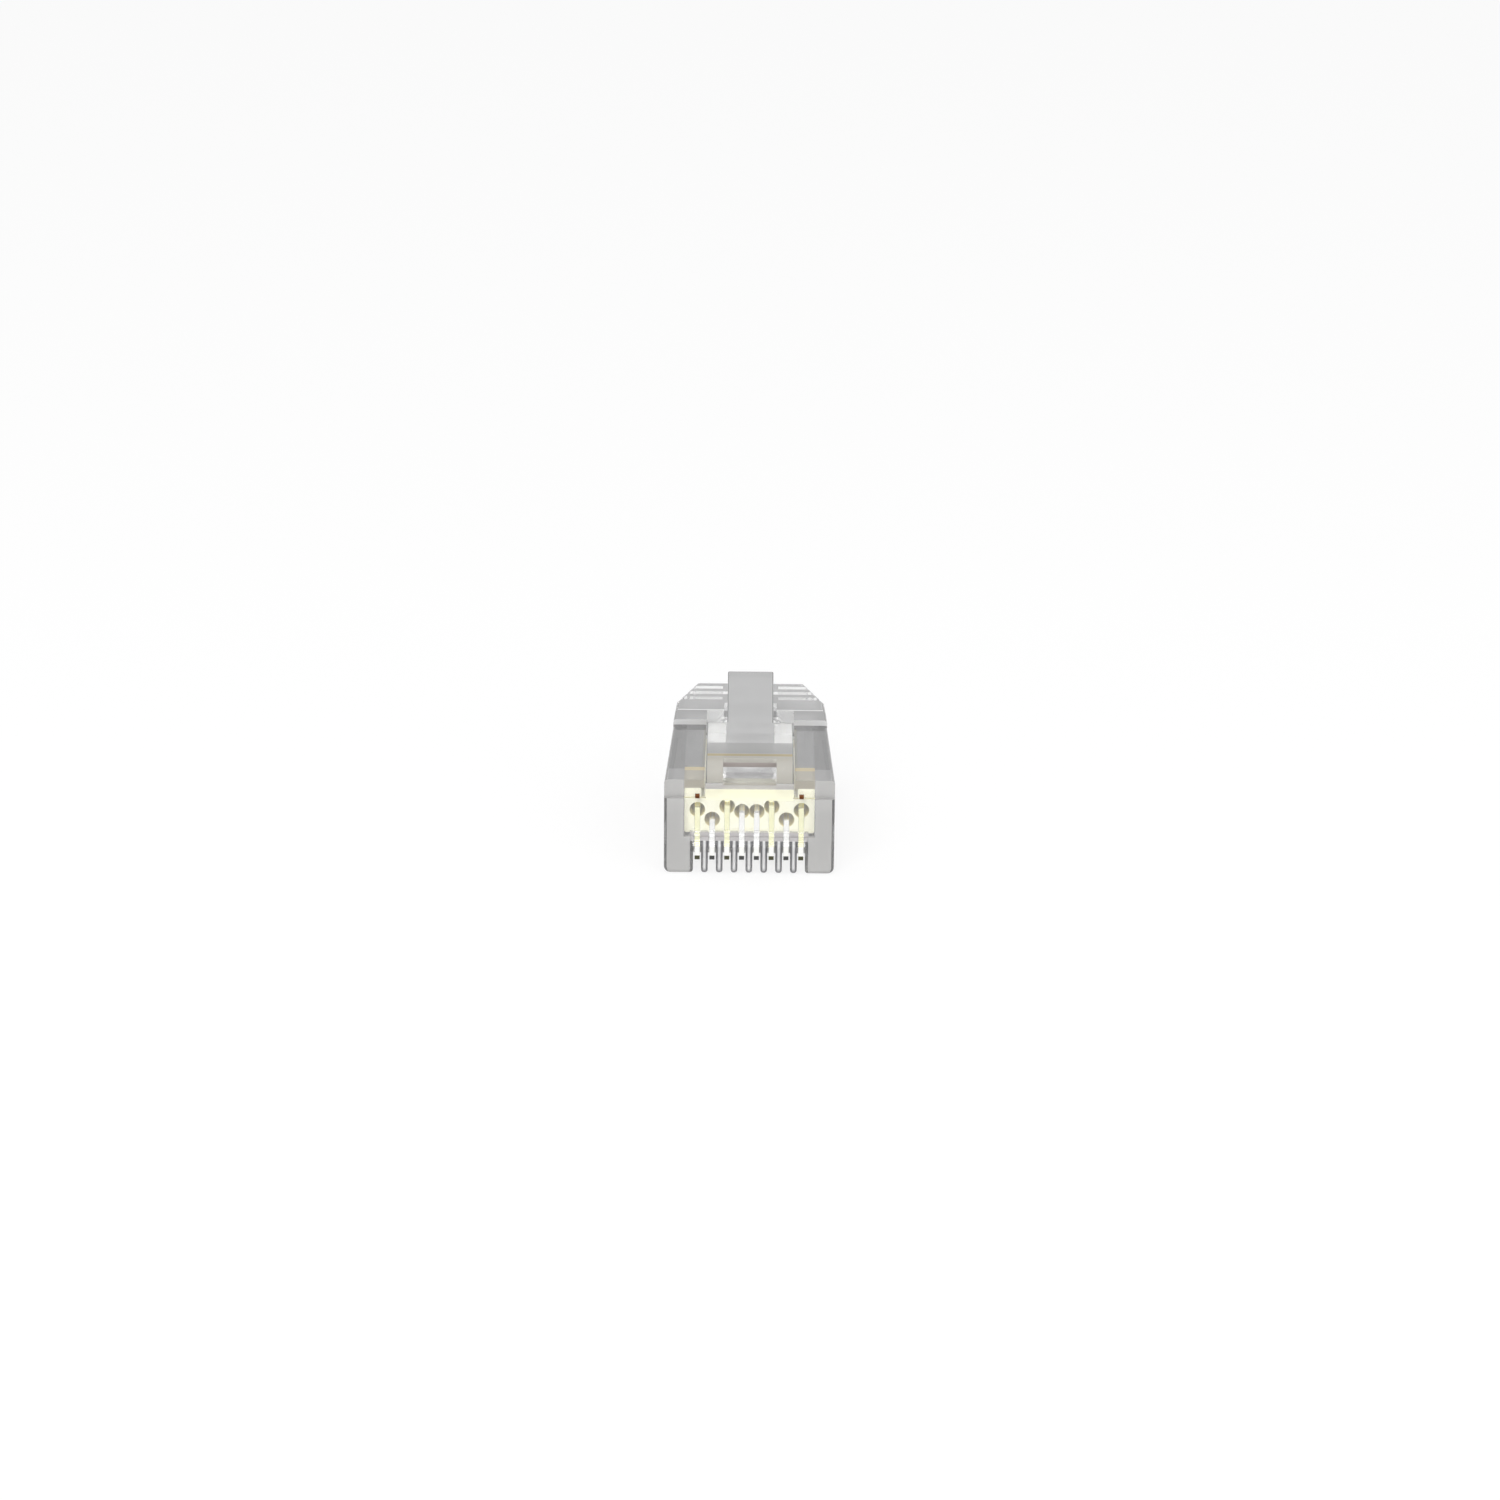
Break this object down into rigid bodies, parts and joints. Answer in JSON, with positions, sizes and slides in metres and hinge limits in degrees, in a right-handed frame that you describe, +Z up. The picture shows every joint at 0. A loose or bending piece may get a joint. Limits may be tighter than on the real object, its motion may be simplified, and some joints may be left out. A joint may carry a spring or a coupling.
{
  "type": "rj45 modular plug",
  "caption": "Clear modular plug with a comb of contact slots, a sprung latch lever, a wire load bar and a ribbed strain relief round the cable entry.",
  "frame": {"origin": "middle of the plug's box, on the plane of its flat underside", "axes": "+Z up, from the contact side to the latch side; +Y from the nose to the cable entry; +X across the contacts"},
  "size_m": [0.0116, 0.0222, 0.0096],
  "materials": {
    "clear_plastic": "clear grey-tinted polycarbonate, polished",
    "bar_plastic": "translucent pale cream polycarbonate",
    "contact_gold": "gold plated",
    "contact_silver": "nickel plated"
  },
  "bodies": {
    "plug": {"housing": "clear_plastic", "strain_relief": "clear_plastic", "load_bar": "bar_plastic", "contact_1": "contact_gold", "contact_2": "contact_silver", "contact_3": "contact_gold", "contact_4": "contact_silver", "contact_5": "contact_silver", "contact_6": "contact_gold", "contact_7": "contact_silver", "contact_8": "contact_gold"},
    "latch": {"latch_lever": "clear_plastic"}
  },
  "joints": [
    {"name": "latch_flex", "type": "hinge", "parent": "plug", "child": "latch", "pos_m": [0, -0.0101, 0.00605], "axis": [1, 0, 0], "range_deg": [-7, 0], "stiffness_Nm_per_rad": 0.3}
  ]
}
